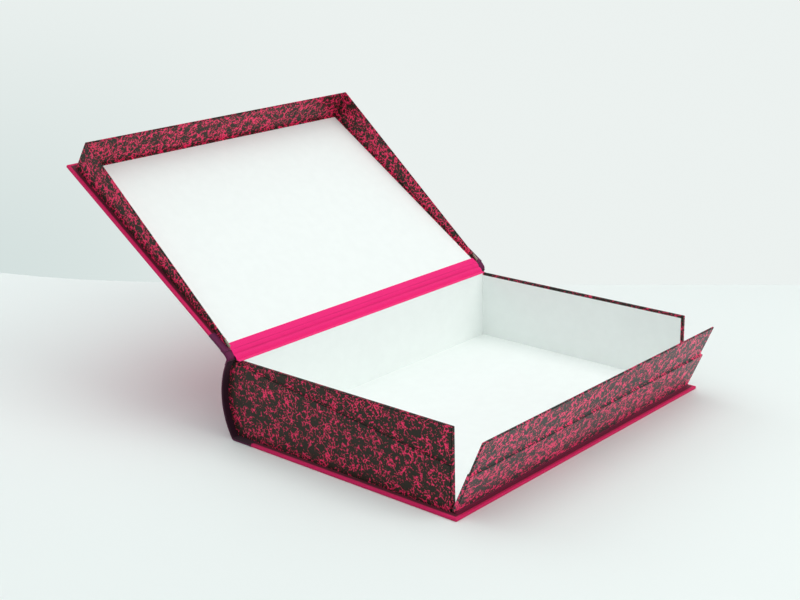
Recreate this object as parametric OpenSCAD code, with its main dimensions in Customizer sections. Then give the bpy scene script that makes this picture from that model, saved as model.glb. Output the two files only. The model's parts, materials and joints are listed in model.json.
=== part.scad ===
// Clamshell book box for papers: a tray with a drop front, in a cloth-covered
// case with a curved spine, under a lid whose tapered rims close over the tray.
// Millimetres. X runs from the spine to the fore-edge, Y from the near side to
// the far side and Z upwards. The origin is the middle of the tray's clear
// floor, on the plane that the box stands on. The box is drawn standing open.

/* [Papers it holds] */
// Clear length of the tray, between the side linings
inner_len = 317; // [230:1:440]
// Clear width of the tray, from the back lining to the closed flap
inner_wid = 224; // [160:1:330]
// Clear depth of the tray, from the floor lining to the wall tops
inner_dep = 63.3; // [48:0.1:110]

/* [Boards] */
// Thickness of the tray's wall and floor boards
wall_board_t = 3.2; // [1.8:0.1:4]
// Thickness of the flap's full-height board
flap_board_t = 1.2; // [0.8:0.1:3.5]
// Thickness of the outer boards that make the shoulder under the lid's rims
shoulder_board_t = 1.8; // [1.6:0.1:5]
// Thickness of the case's base and lid boards
case_board_t = 2; // [1.5:0.1:4]
// Thickness of the curved spine board
spine_board_t = 1.8; // [1:0.1:3]

/* [Coverings] */
// Thickness of the bookcloth
cloth_t = 0.35; // [0.2:0.05:0.5]
// Thickness of the patterned paper and of the white lining paper
paper_t = 0.25; // [0.1:0.05:0.35]
// Width of patterned paper that shows inside, round the linings
paper_margin = 2; // [1:0.5:8]
// Width of the rims' paper that shows on the lid, round its lining
rim_turn_in = 2.3; // [1:0.1:8]
// Width of hinge cloth that shows under the patterned paper of the flap
flap_cloth_w = 2; // [1:0.5:6]
// How far the spine's cloth laps on to the base and the lid
spine_lap = 20; // [8:1:40]

/* [Ledges, shoulders and clearances] */
// How far the case boards stand out past the tray
ledge = 6; // [3:0.5:12]
// Drop from the wall top to the shoulder at the fore-edge
fore_drop = 30; // [16:1:40]
// Drop from the wall top to the shoulder at the spine
back_drop = 2.5; // [1.5:0.5:10]
// Gap between the lid's rims and the walls that they slide over
rim_play = 0.3; // [0.3:0.1:1]
// Gap between the closed lid and the tray, and between rims and shoulders
lid_play = 0.4; // [0.3:0.1:1]
// Gap between the closed flap and the ends of the side walls
flap_play = 0.3; // [0.2:0.1:1]
// Height of the flap's bottom edge above the ledge
flap_lift = 0.5; // [0.3:0.1:1]
// Gap between the flap's boards and its hinge cloth
flap_cloth_play = 0.1; // [0.05:0.05:0.3]

/* [Spine and cloth joints] */
// How far the spine bows out past its two long edges
spine_bow = 10.9; // [6:0.1:18]
// Gap between the back wall and the spine's two long edges
spine_seat = 0.9; // [0:0.1:6]
// Width of the cloth joint between the spine and the lid board
joint_w = 5.4; // [4:0.1:9]
// Width of the inner hinge strip on the lid board
strip_w = 6.4; // [4:0.1:20]
// Gap between the lid board's spine edge and the ends of the side rims
rim_setback = 2; // [1:0.5:10]
// Reach of the flap's hinge cloth over the ledge
flap_strip_w = 2.5; // [1.5:0.5:4]

/* [Pose] */
// Angle that the lid stands open, from closed
lid_angle = 146; // [115:1:180]
// Angle that the flap leans out, from closed
flap_angle = 24; // [0:1:60]

/* [Hidden] */

// Sides in Y: -1 is the near side and 1 is the far side.
NEAR = -1;
FAR = 1;
ARC_FN = 180;
// Overrun of a cutting solid past the face that it cuts.
over = 1;

// Heights of the case and the tray.
base_top = cloth_t + case_board_t;
ledge_top = base_top + cloth_t;
floor_z = base_top + wall_board_t + paper_t;
wall_top = floor_z + inner_dep;

// Heights of the closed lid.
lid_in = wall_top + lid_play;
lid_board_z = lid_in + paper_t;
lid_top = lid_board_z + case_board_t + cloth_t;

// Side walls, from the lining outwards.
lining_y = inner_len / 2;
wall_in_y = lining_y + paper_t;
wall_out_y = wall_in_y + wall_board_t;
upper_y = wall_out_y + paper_t;
shoulder_y = wall_out_y + shoulder_board_t;
lower_y = shoulder_y + paper_t;
case_y = lower_y + ledge;

// Back wall, from the lining towards the spine.
back_x = -inner_wid / 2;
back_in_x = back_x - paper_t;
back_out_x = back_in_x - wall_board_t;

// Closed flap, from the lining outwards, and the wall ends that it covers.
flap_in_x = inner_wid / 2;
flap_mid_x = flap_in_x + paper_t + flap_board_t;
flap_upper_x = flap_mid_x + paper_t;
flap_shoulder_x = flap_mid_x + shoulder_board_t;
fore_x = flap_shoulder_x + paper_t;
case_fore_x = fore_x + ledge;
wall_end_x = flap_in_x - flap_play;
flap_z = ledge_top + flap_lift;
step_z = wall_top - fore_drop;

// The spine is an arc that bows out between the table and the closed lid's top.
spine_chord_x = back_out_x - spine_seat;
spine_r = ((lid_top / 2) ^ 2 + spine_bow ^ 2) / (2 * spine_bow);
spine_cx = spine_chord_x + sqrt(spine_r ^ 2 - (lid_top / 2) ^ 2);
spine_cz = lid_top / 2;
spine_top = lid_board_z;
spine_board_r = spine_r + spine_board_t;
spine_out_r = spine_board_r + cloth_t;
base_lap_x = spine_chord_x + spine_lap;

// The lid turns about the spine's top outer edge, the flap about its bottom one.
hinge_x = spine_cx - sqrt(spine_out_r ^ 2 - (lid_top / 2) ^ 2);
hinge_z = lid_top;

// The closed lid, from the spine to the fore-edge, and its rims.
lid_x = hinge_x + joint_w;
strip_end_x = lid_x + strip_w;
lid_lap_x = lid_x + spine_lap;
rim_board_t = shoulder_board_t - rim_play - 2 * paper_t;
rim_in_y = lower_y - rim_board_t - 2 * paper_t;
rim_in_x = fore_x - rim_board_t - 2 * paper_t;
rim_x = lid_x + rim_setback;

// The paper-covered top of the shoulder slopes down from the spine to the fore-edge.
function shoulder_z(x) =
    wall_top - back_drop - (fore_drop - back_drop) * (x - back_x) / (fore_x - back_x);

// Where a point [x, z] of the closed lid lies when the lid stands open.
function opened(p) = [
    hinge_x + cos(lid_angle) * (p[0] - hinge_x) - sin(lid_angle) * (p[1] - hinge_z),
    hinge_z + sin(lid_angle) * (p[0] - hinge_x) + cos(lid_angle) * (p[1] - hinge_z)
];

// The same for a point of the closed flap, which leans the other way.
function leaned(p) = [
    fore_x + cos(flap_angle) * (p[0] - fore_x) + sin(flap_angle) * (p[1] - flap_z),
    flap_z - sin(flap_angle) * (p[0] - fore_x) + cos(flap_angle) * (p[1] - flap_z)
];

// Unit normal on the left of the way from p to q.
function left_of(p, q) = [p[1] - q[1], q[0] - p[0]] / norm(q - p);

// Normal at point i of a path, scaled so that an offset keeps its width at a bend.
function mitre(path, i) =
    let (
        last = len(path) - 1,
        before = left_of(path[max(i - 1, 0)], path[max(i, 1)]),
        after = left_of(path[min(i, last - 1)], path[min(i + 1, last)])
    )
    (before + after) / (1 + before * after);

// Moves an [x, z] outline along Y, between y0 and y1.
module along_y(y0, y1) {
    translate([0, max(y0, y1), 0])
        rotate([90, 0, 0])
            linear_extrude(abs(y1 - y0))
                children();
}

// Moves a [y, z] outline along X, between x0 and x1.
module along_x(x0, x1) {
    translate([x0, 0, 0])
        rotate([90, 0, 90])
            linear_extrude(x1 - x0)
                children();
}

// Block between two corners.
module block(low, high) {
    translate(low) cube(high - low);
}

// The lid's and the flap's pieces are drawn closed, and turned open here.
module open_lid() {
    translate([hinge_x, 0, hinge_z])
        rotate([0, -lid_angle, 0])
            translate([-hinge_x, 0, -hinge_z])
                children();
}

module lean_flap() {
    translate([fore_x, 0, flap_z])
        rotate([0, flap_angle, 0])
            translate([-fore_x, 0, -flap_z])
                children();
}

// [x, z] outline from the spine's inner face, an arc of radius r, to x1, between two
// heights.
module side_outline(z0, z1, x1, r = spine_r) {
    intersection() {
        translate([spine_cx, spine_cz]) circle(r = r, $fn = ARC_FN);
        translate([spine_cx - r, z0]) square([back_in_x - spine_cx + r, z1 - z0]);
    }
    translate([back_in_x, z0]) square([x1 - back_in_x, z1 - z0]);
}

// [x, z] area under the shoulder's sloping top, lowered by a covering of thickness t.
module under_shoulder(t) {
    x0 = spine_cx - spine_r - over;
    x1 = case_fore_x;
    polygon([
        [x0, -over], [x1, -over],
        [x1, shoulder_z(x1) - t], [x0, shoulder_z(x0) - t]
    ]);
}

// [x, z] ring of the spine between two radii and two heights.
module spine_ring(r0, r1, z0, z1) {
    intersection() {
        difference() {
            translate([spine_cx, spine_cz]) circle(r = r1, $fn = ARC_FN);
            translate([spine_cx, spine_cz]) circle(r = r0, $fn = ARC_FN);
        }
        translate([spine_cx - r1, z0]) square([r1 / 2, z1 - z0]);
    }
}

// Strip of cloth of thickness t along an [x, z] path.
module strip_outline(path, t) {
    side = [for (i = [0 : len(path) - 1]) path[i] + mitre(path, i) * t / 2];
    back = [for (i = [len(path) - 1 : -1 : 0]) path[i] - mitre(path, i) * t / 2];
    polygon(concat(side, back));
}

// ---- Case ----

module base_board() {
    color("#b3a892")
        along_y(cloth_t - case_y, case_y - cloth_t)
            side_outline(cloth_t, base_top, case_fore_x - cloth_t);
}

// Bookcloth under the base board, round its edges and on its ledges, as far as the
// spine's cloth.
module base_cloth() {
    color("#d81b68")
        difference() {
            block([base_lap_x, -case_y, 0], [case_fore_x, case_y, ledge_top]);
            block(
                [base_lap_x - over, cloth_t - case_y, cloth_t],
                [case_fore_x - cloth_t, case_y - cloth_t, base_top]
            );
            block(
                [base_lap_x - over, -lower_y, base_top],
                [wall_end_x, lower_y, ledge_top + over]
            );
        }
}

module spine_board() {
    color("#b3a892")
        along_y(cloth_t - case_y, case_y - cloth_t)
            spine_ring(spine_r, spine_board_r, cloth_t, spine_top);
}

// Bookcloth round the outside of the spine, turned in at its two ends and lapped
// on to the base. The two boards and the tray's room are cut out of it.
module spine_cloth() {
    color("#5f1c4c")
        difference() {
            along_y(-case_y, case_y) {
                spine_ring(spine_r - cloth_t, spine_out_r, 0, spine_top);
                side_outline(0, ledge_top, base_lap_x);
            }
            spine_board();
            along_y(cloth_t - case_y, case_y - cloth_t)
                side_outline(cloth_t, base_top, base_lap_x + over, spine_r + over);
            along_y(-lower_y, lower_y)
                side_outline(base_top, spine_top + over, base_lap_x + over, spine_r + over);
        }
}

// ---- Tray ----

module floor_board() {
    color("#b3a892")
        block(
            [back_in_x, -wall_in_y, base_top],
            [wall_end_x - paper_t, wall_in_y, floor_z - paper_t]
        );
}

// White paper on the floor, turned down over its fore end.
module floor_lining() {
    color("white") {
        block([back_x, -lining_y, floor_z - paper_t], [wall_end_x, lining_y, floor_z]);
        block(
            [wall_end_x - paper_t, -lining_y, base_top],
            [wall_end_x, lining_y, floor_z - paper_t]
        );
    }
}

module back_wall_board() {
    color("#b3a892")
        block(
            [back_out_x, -wall_in_y, base_top],
            [back_in_x, wall_in_y, wall_top - paper_t]
        );
}

module back_wall_lining() {
    color("white")
        block([back_in_x, -lining_y, floor_z], [back_x, lining_y, wall_top - paper_t]);
}

// Inner, full-height board of a side wall, with its tail in the spine's curve.
module wall_board(s) {
    color("#b3a892")
        along_y(s * wall_in_y, s * wall_out_y)
            side_outline(base_top, wall_top - paper_t, wall_end_x - paper_t);
}

// Outer board of a side wall, which stops at the sloping shoulder.
module shoulder_board(s) {
    color("#b3a892")
        along_y(s * wall_out_y, s * shoulder_y)
            intersection() {
                side_outline(base_top, wall_top - paper_t, wall_end_x - paper_t);
                under_shoulder(paper_t);
            }
}

// The boards' places inside their covering, open at the spine and underneath.
module wall_board_space(s) {
    along_y(s * wall_in_y, s * wall_out_y)
        translate([spine_cx - spine_r - over, -over])
            square([
                wall_end_x - paper_t - spine_cx + spine_r + over,
                wall_top - paper_t + over
            ]);
}

module shoulder_board_space(s) {
    along_y(s * wall_out_y, s * shoulder_y)
        intersection() {
            under_shoulder(paper_t);
            translate([spine_cx - spine_r - over, -over])
                square([
                    wall_end_x - paper_t - spine_cx + spine_r + over,
                    wall_top - paper_t + over
                ]);
        }
}

// Everything that a covered side wall fills.
module wall_envelope(s) {
    along_y(s * lining_y, s * upper_y) side_outline(base_top, wall_top, wall_end_x);
    along_y(s * lining_y, s * lower_y)
        intersection() {
            side_outline(base_top, wall_top, wall_end_x);
            under_shoulder(0);
        }
}

// Patterned paper over the outside, the shoulder, the top and the fore end.
module wall_paper(s) {
    color("#8c2a45")
        difference() {
            wall_envelope(s);
            wall_board_space(s);
            shoulder_board_space(s);
            floor_board();
            // The lining's place, and the bare board behind the back wall.
            along_y(s * (lining_y - over), s * wall_in_y)
                translate([spine_cx - spine_r - over, 0])
                    square([
                        wall_end_x - paper_margin - spine_cx + spine_r + over,
                        wall_top - paper_margin
                    ]);
            along_y(s * (lining_y - over), s * wall_out_y)
                translate([spine_cx - spine_r - over, 0])
                    square([back_x - spine_cx + spine_r + over, wall_top + over]);
        }
}

module wall_lining(s) {
    color("white")
        along_y(s * lining_y, s * wall_in_y)
            translate([back_x, floor_z])
                square([wall_end_x - paper_margin - back_x, inner_dep - paper_margin]);
}

// ---- Flap, drawn closed ----

// [y, z] outline of the flap, stepped in at the shoulder, inset by t.
module flap_outline(t, z0) {
    polygon([
        [t - lower_y, z0], [lower_y - t, z0],
        [lower_y - t, step_z - t], [upper_y - t, step_z - t],
        [upper_y - t, wall_top - t], [t - upper_y, wall_top - t],
        [t - upper_y, step_z - t], [t - lower_y, step_z - t]
    ]);
}

module flap_board_shape() {
    along_x(flap_in_x + paper_t, flap_mid_x) flap_outline(paper_t, flap_z);
}

module flap_shoulder_shape() {
    block(
        [flap_mid_x, -shoulder_y, flap_z],
        [flap_shoulder_x, shoulder_y, step_z - paper_t]
    );
}

module flap_lining_shape() {
    along_x(flap_in_x, flap_in_x + paper_t)
        flap_outline(paper_margin, flap_z + paper_margin);
}

module flap_board() {
    color("#b3a892") lean_flap() flap_board_shape();
}

module flap_shoulder_board() {
    color("#b3a892") lean_flap() flap_shoulder_shape();
}

module flap_lining() {
    color("white") lean_flap() flap_lining_shape();
}

// Patterned paper over the flap, down to the hinge cloth.
module flap_paper() {
    color("#8c2a45")
        lean_flap()
            difference() {
                union() {
                    along_x(flap_in_x, flap_upper_x) flap_outline(0, flap_z);
                    block([flap_in_x, -lower_y, flap_z], [fore_x, lower_y, step_z]);
                }
                flap_board_shape();
                flap_shoulder_shape();
                flap_lining_shape();
                block(
                    [flap_shoulder_x, -lower_y - over, flap_z - over],
                    [fore_x + over, lower_y + over, flap_z + flap_cloth_w]
                );
            }
}

// Bookcloth hinge from the ledge up the flap's outer face.
module flap_hinge_cloth() {
    mid_x = flap_shoulder_x + flap_cloth_play + paper_t / 2;
    foot_z = ledge_top + paper_t / 2;
    color("#d81b68")
        along_y(-shoulder_y, shoulder_y)
            strip_outline([
                leaned([mid_x, flap_z + flap_cloth_w]),
                leaned([mid_x, flap_z + paper_t / 2]),
                [fore_x + paper_t, foot_z],
                [fore_x + flap_strip_w, foot_z]
            ], paper_t);
}

// ---- Lid, drawn closed ----

module lid_board_shape() {
    block(
        [lid_x, cloth_t - case_y, lid_board_z],
        [case_fore_x - cloth_t, case_y - cloth_t, lid_board_z + case_board_t]
    );
}

module lid_board() {
    color("#b3a892") open_lid() lid_board_shape();
}

// Bookcloth over the lid board, round its edges and on its ledges, from x0 to x1.
module lid_skin(x0, x1) {
    open_lid()
        difference() {
            block([x0, -case_y, lid_board_z - cloth_t], [x1, case_y, lid_top]);
            lid_board_shape();
            block(
                [lid_x - over, -lower_y, lid_board_z - cloth_t - over],
                [fore_x, lower_y, lid_board_z]
            );
        }
}

module lid_cloth() {
    color("#d81b68") lid_skin(lid_lap_x, case_fore_x);
}

// The spine's cloth, where it laps on to the lid.
module lid_spine_cloth() {
    color("#5f1c4c") lid_skin(lid_x, lid_lap_x);
}

module lid_lining() {
    lining_end_y = rim_in_y - rim_turn_in;
    color("white")
        open_lid()
            block(
                [strip_end_x, -lining_end_y, lid_in],
                [rim_in_x - rim_turn_in, lining_end_y, lid_board_z]
            );
}

// [x, z] outline of a side rim, with its free edge raised by t.
module side_rim_outline(t) {
    polygon([
        [rim_x, lid_board_z], [rim_in_x, lid_board_z],
        [rim_in_x, shoulder_z(rim_in_x) + lid_play + t],
        [rim_x, shoulder_z(rim_x) + lid_play + t]
    ]);
}

module side_rim_board_shape(s) {
    along_y(s * (rim_in_y + paper_t), s * shoulder_y) side_rim_outline(paper_t);
}

module side_rim_board(s) {
    color("#b3a892") open_lid() side_rim_board_shape(s);
}

// Patterned paper round a side rim, turned in on the lid board.
module side_rim_paper(s) {
    color("#8c2a45")
        open_lid()
            difference() {
                union() {
                    along_y(s * rim_in_y, s * lower_y) side_rim_outline(0);
                    along_y(s * (rim_in_y - rim_turn_in), s * (rim_in_y + paper_t))
                        translate([strip_end_x, lid_in])
                            square([rim_in_x - rim_turn_in - strip_end_x, paper_t]);
                }
                side_rim_board_shape(s);
            }
}

module fore_rim_board_shape() {
    block(
        [rim_in_x + paper_t, -shoulder_y, step_z + lid_play + paper_t],
        [fore_x - paper_t, shoulder_y, lid_board_z]
    );
}

module fore_rim_board() {
    color("#b3a892") open_lid() fore_rim_board_shape();
}

// Patterned paper round the fore rim, turned in on the lid board.
module fore_rim_paper() {
    color("#8c2a45")
        open_lid()
            difference() {
                union() {
                    block(
                        [rim_in_x, -lower_y, step_z + lid_play],
                        [fore_x, lower_y, lid_board_z]
                    );
                    block(
                        [rim_in_x - rim_turn_in, -rim_in_y, lid_in],
                        [rim_in_x + paper_t, rim_in_y, lid_board_z]
                    );
                }
                fore_rim_board_shape();
            }
}

// ---- Cloth joints between the spine and the lid ----

// Outer joint: from the spine cloth round the hinge line to the lid cloth.
module outer_joint_cloth() {
    start_z = spine_top + cloth_t / 2;
    mid_r = spine_out_r - cloth_t / 2;
    start_x = spine_cx - sqrt(mid_r ^ 2 - (start_z - spine_cz) ^ 2);
    color("#5f1c4c")
        along_y(-case_y, case_y)
            strip_outline([
                [start_x, start_z],
                opened([hinge_x, lid_top - cloth_t / 2]),
                opened([lid_x, lid_top - cloth_t / 2])
            ], cloth_t);
}

// Inner strip: over the back wall's top and across the joint to the lid's lining.
module inner_hinge_strip() {
    seat_z = wall_top - paper_t + cloth_t / 2;
    lid_z = lid_board_z - cloth_t / 2;
    color("#ff2f86")
        along_y(-wall_out_y, wall_out_y)
            strip_outline([
                [back_x, seat_z],
                [back_out_x, seat_z],
                opened([lid_x - cloth_t / 2, lid_z]),
                opened([strip_end_x, lid_z])
            ], cloth_t);
}

base_board();
base_cloth();
spine_board();
spine_cloth();
floor_board();
floor_lining();
back_wall_board();
back_wall_lining();
wall_board(NEAR);  // near_wall_board
shoulder_board(NEAR);  // near_shoulder_board
wall_paper(NEAR);  // near_wall_paper
wall_lining(NEAR);  // near_wall_lining
wall_board(FAR);  // far_wall_board
shoulder_board(FAR);  // far_shoulder_board
wall_paper(FAR);  // far_wall_paper
wall_lining(FAR);  // far_wall_lining
flap_board();
flap_shoulder_board();
flap_paper();
flap_lining();
flap_hinge_cloth();
lid_board();
lid_cloth();
lid_spine_cloth();
lid_lining();
side_rim_board(NEAR);  // near_rim_board
side_rim_paper(NEAR);  // near_rim_paper
side_rim_board(FAR);  // far_rim_board
side_rim_paper(FAR);  // far_rim_paper
fore_rim_board();
fore_rim_paper();
outer_joint_cloth();
inner_hinge_strip();
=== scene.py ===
import json
import math
from functools import partial

import bpy
import numpy as np
from mathutils import Matrix, Vector


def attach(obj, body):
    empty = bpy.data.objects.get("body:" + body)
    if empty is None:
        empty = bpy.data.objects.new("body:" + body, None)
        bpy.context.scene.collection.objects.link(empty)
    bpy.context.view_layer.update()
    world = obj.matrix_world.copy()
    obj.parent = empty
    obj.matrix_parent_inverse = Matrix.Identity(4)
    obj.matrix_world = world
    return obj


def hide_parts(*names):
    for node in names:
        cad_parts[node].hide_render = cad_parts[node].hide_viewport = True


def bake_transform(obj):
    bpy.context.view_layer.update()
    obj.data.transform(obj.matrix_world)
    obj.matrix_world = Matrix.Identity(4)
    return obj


bl_info = {
    "name": "Clamshell Book Box",
    "version": (1, 0, 0),
    "blender": (4, 5, 0),
    "location": "3D View > Sidebar > Book Box",
    "description": "Covers a clamshell book box in bookcloth, patterned paper and lining paper",
    "category": "Object",
}

MM = 0.001
NEAR, FAR = -1.0, 1.0
PICTURE_WIDTH_PX = 800
NODE_NAMES_OF_BOARDS = (
    "base_board", "spine_board", "floor_board", "back_wall_board",
    "near_wall_board", "near_shoulder_board", "far_wall_board", "far_shoulder_board",
    "flap_board", "flap_shoulder_board", "lid_board",
    "near_rim_board", "far_rim_board", "fore_rim_board",
)

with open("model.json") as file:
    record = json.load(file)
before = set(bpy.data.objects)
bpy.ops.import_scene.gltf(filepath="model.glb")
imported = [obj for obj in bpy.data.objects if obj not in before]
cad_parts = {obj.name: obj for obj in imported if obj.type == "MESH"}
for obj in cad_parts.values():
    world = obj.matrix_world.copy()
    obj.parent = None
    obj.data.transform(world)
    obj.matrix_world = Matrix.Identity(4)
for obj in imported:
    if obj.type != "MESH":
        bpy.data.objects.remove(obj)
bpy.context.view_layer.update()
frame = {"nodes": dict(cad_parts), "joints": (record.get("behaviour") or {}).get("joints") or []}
JOINTS = {joint["name"]: joint for joint in frame["joints"]}


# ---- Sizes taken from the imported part, in millimetres ----

class Hinge:
    """A joint's axis along Y, and the turn from the closed pose to the pose at rest."""

    def __init__(self, name, sense):
        joint = JOINTS[name]
        self.x = joint["pos_m"][0] / MM
        self.z = joint["pos_m"][2] / MM
        self.angle = math.radians(-joint["range_deg"][0]) * sense

    def turn(self, points, angle):
        """Points turned about the axis: x and z each become a sum of cosine and sine parts."""
        points = np.asarray(points, float)
        dx, dz = points[..., 0] - self.x, points[..., 2] - self.z
        c, s = math.cos(angle), math.sin(angle)
        turned = points.copy()
        turned[..., 0] = self.x + c * dx - s * dz
        turned[..., 2] = self.z + s * dx + c * dz
        return turned

    def open(self, points):
        return self.turn(points, self.angle)

    def close(self, points):
        return self.turn(points, -self.angle)


def node_points(node):
    """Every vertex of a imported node, in millimetres."""
    mesh = frame["nodes"][node].data
    flat = np.empty(len(mesh.vertices) * 3)
    mesh.vertices.foreach_get("co", flat)
    return flat.reshape(-1, 3) / MM


def node_box(node, hinge=None):
    """Lowest and highest corner of a node, turned closed first if it has a hinge."""
    points = node_points(node)
    if hinge is not None:
        points = hinge.close(points)
    return points.min(0), points.max(0)


LID = Hinge("lid_hinge", 1.0)
FLAP = Hinge("flap_hinge", -1.0)

base_low, base_high = node_box("base_cloth")
wall_low, wall_high = node_box("far_wall_paper")
lining_low, lining_high = node_box("far_wall_lining")
CASE_Y, CASE_FORE_X, LEDGE_TOP, BASE_LAP_X = base_high[1], base_high[0], base_high[2], base_low[0]
LINING_Y, LOWER_Y = wall_low[1], wall_high[1]
WALL_FOOT, WALL_TOP, WALL_END_X = wall_low[2], wall_high[2], wall_high[0]
BACK_X, FLOOR_Z = lining_low[0], lining_low[2]
WALL_IN_Y = lining_high[1]
WALL_OUT_Y = node_box("far_wall_board")[1][1]
PAPER = WALL_IN_Y - LINING_Y
UPPER_Y = WALL_OUT_Y + PAPER
MARGIN = WALL_TOP - lining_high[2]
BACK_OUT_X = node_box("back_wall_board")[0][0]

flap_low, flap_high = node_box("flap_board", FLAP)
FLAP_IN_X = flap_low[0] - PAPER
FLAP_UPPER_X = flap_high[0] + PAPER
FLAP_FOOT = flap_low[2]
STEP_Z = node_box("flap_shoulder_board", FLAP)[1][2] + PAPER
FORE_X = FLAP.x

lid_low, lid_high = node_box("lid_board", LID)
rim_low = node_box("fore_rim_board", LID)[0]
side_low = node_box("far_rim_board", LID)[0]
sheet_low, sheet_high = node_box("lid_lining", LID)
LID_X, LID_BOARD_Z, LID_TOP = lid_low[0], lid_low[2], LID.z
CLOTH = LID_TOP - lid_high[2]
LID_IN = LID_BOARD_Z - PAPER
LID_LAP_X = node_box("lid_cloth", LID)[0][0]
STRIP_END_X, LID_LINING_X, LID_LINING_Y = sheet_low[0], sheet_high[0], sheet_high[1]
RIM_IN_X, RIM_Z = rim_low[0] - PAPER, rim_low[2] - PAPER
RIM_X, RIM_IN_Y = side_low[0], side_low[1] - PAPER

# The spine is an arc: its radius is the sum of the squares of its half height and its bow,
# over twice the bow.
SPINE_CZ = LID_TOP / 2
spine_back_x = node_box("spine_cloth")[0][0]
bow = LID.x - spine_back_x
SPINE_OUT_R = (SPINE_CZ ** 2 + bow ** 2) / (2 * bow)
SPINE_CX = spine_back_x + SPINE_OUT_R
SPINE_TOP = LID_BOARD_Z
spine_points = node_points("spine_board")
SPINE_IN_R = np.hypot(spine_points[:, 0] - SPINE_CX, spine_points[:, 2] - SPINE_CZ).min() - CLOTH

# The shoulder's slope is that of the sides' free edges on the lid.
rim_points = LID.close(node_points("far_rim_board"))
free_fore = rim_points[rim_points[:, 0] > RIM_IN_X - 0.1][:, 2].min()
free_spine = rim_points[rim_points[:, 0] < RIM_X + 0.1][:, 2].min()
SLOPE = (free_fore - free_spine) / (RIM_IN_X - RIM_X)
LID_PLAY = RIM_Z - STEP_Z


def shoulder_z(x):
    """Height of the shoulder: a straight line in x that ends at the step at the fore-edge."""
    return STEP_Z + SLOPE * (x - FORE_X)


def spine_x(radius, z):
    """Place of the spine's arc of that radius at height z."""
    return SPINE_CX - np.sqrt(radius ** 2 - (z - SPINE_CZ) ** 2)


# ---- Surfaces ----

# The orders that put an outline's two axes and the axis of its levels in the places x, y, z.
LEVELS_IN_Z, LEVELS_IN_Y, LEVELS_IN_X = [0, 1, 2], [0, 2, 1], [2, 0, 1]
SHARP = 0.03  # the radius of an edge that looks sharp
GUARD = 0.12  # how far before a round edge its guard point stands
ARC_STEPS = 4
SHARP_FROM_DEG = 40
THINNEST_SHARE = 0.15  # what is left of a strip's thickness at its two ends
STRIP_STATIONS = 60


def unit(vectors):
    """Vectors over their own lengths."""
    return vectors / np.linalg.norm(vectors, axis=-1, keepdims=True)


def mirrored(values):
    """Values backwards and then forwards: over the edge of one face, then over the other's."""
    return np.concatenate([values[::-1], values])


def boxes(x0, x1, y0, y1):
    """Rectangles between two places on each axis, each as four corners."""
    x0, x1, y0, y1 = np.broadcast_arrays(x0, x1, y0, y1)
    return np.stack([x0, y0, x1, y0, x1, y1, x0, y1], -1).reshape(*x0.shape, 4, 2)


def inset(corners, depths):
    """A closed outline moved inwards by each of the depths, with mitred corners.

    For an inset of one, a corner moves by the sum of its two sides' inward normals over
    one plus their product."""
    sides = unit(np.roll(corners, -1, axis=-2) - corners)
    after = np.stack([-sides[..., 1], sides[..., 0]], -1)
    before = np.roll(after, 1, axis=-2)
    product = (before * after).sum(-1, keepdims=True)
    return corners + (before + after) / (1 + product) * depths[:, None, None]


def rounded(corners, radii, steps=ARC_STEPS, guard=GUARD):
    """A closed outline with round corners, and a flag that is 1 on the arcs.

    Each arc is tangent to its two sides: its tangent length is r over tan(half the
    corner's angle), and its points turn evenly from one side to the other. A guard
    point stands on each side just before the arc, to keep the flats flat."""
    corners = np.asarray(corners, float)
    radii = np.broadcast_to(radii, corners.shape[:-1])[..., None]
    back = unit(np.roll(corners, 1, axis=-2) - corners)
    on = unit(np.roll(corners, -1, axis=-2) - corners)
    half = np.arccos(np.clip((back * on).sum(-1, keepdims=True), -1, 1)) / 2
    reach = radii / np.tan(half)
    centre = corners + unit(back + on) * radii / np.sin(half)
    turn = np.pi - 2 * half
    share = np.linspace(0, 1, steps + 1)
    start = (corners + back * reach - centre)[..., None, :]
    end = (corners + on * reach - centre)[..., None, :]
    w_start = (np.sin((1 - share) * turn) / np.sin(turn))[..., None]
    w_end = (np.sin(share * turn) / np.sin(turn))[..., None]
    arcs = centre[..., None, :] + start * w_start + end * w_end
    first = (corners + back * (reach + guard))[..., None, :]
    last = (corners + on * (reach + guard))[..., None, :]
    points = np.concatenate([first, arcs, last], axis=-2)
    flags = np.zeros(points.shape[:-1])
    flags[..., 1:-1] = 1.0
    shape = points.shape[:-3]
    return points.reshape(shape + (-1, 2)), flags.reshape(shape + (-1,))


def edge_round(radius, steps=ARC_STEPS, guard=GUARD):
    """Stations over a rounded edge: how far inwards, how far below the face, and a flag.

    They turn a quarter circle: inwards by r(1 - cos a) and below by r(1 - sin a)."""
    a = np.linspace(0, np.pi / 2, steps + 1)
    inwards = np.concatenate([[0.0], radius * (1 - np.cos(a)), [radius + guard]])
    below = np.concatenate([[radius + guard], radius * (1 - np.sin(a)), [0.0]])
    flags = np.concatenate([[0.0], np.ones(steps + 1), [0.0]])
    return inwards, below, flags


def cove(radius):
    """Stations up a hollow corner, a quarter circle: out by r(1 - sin a), up by r(1 - cos a)."""
    a = np.linspace(0, np.pi / 2, ARC_STEPS)
    return radius * (1 - np.sin(a)), radius * (1 - np.cos(a))


def lengths_along(points, axis):
    """Running length of a grid of points along one of its two axes."""
    steps = np.linalg.norm(np.diff(points, axis=axis), axis=-1)
    zero = np.zeros_like(np.take(steps, [0], axis=axis))
    return np.concatenate([zero, np.cumsum(steps, axis=axis)], axis=axis)


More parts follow.
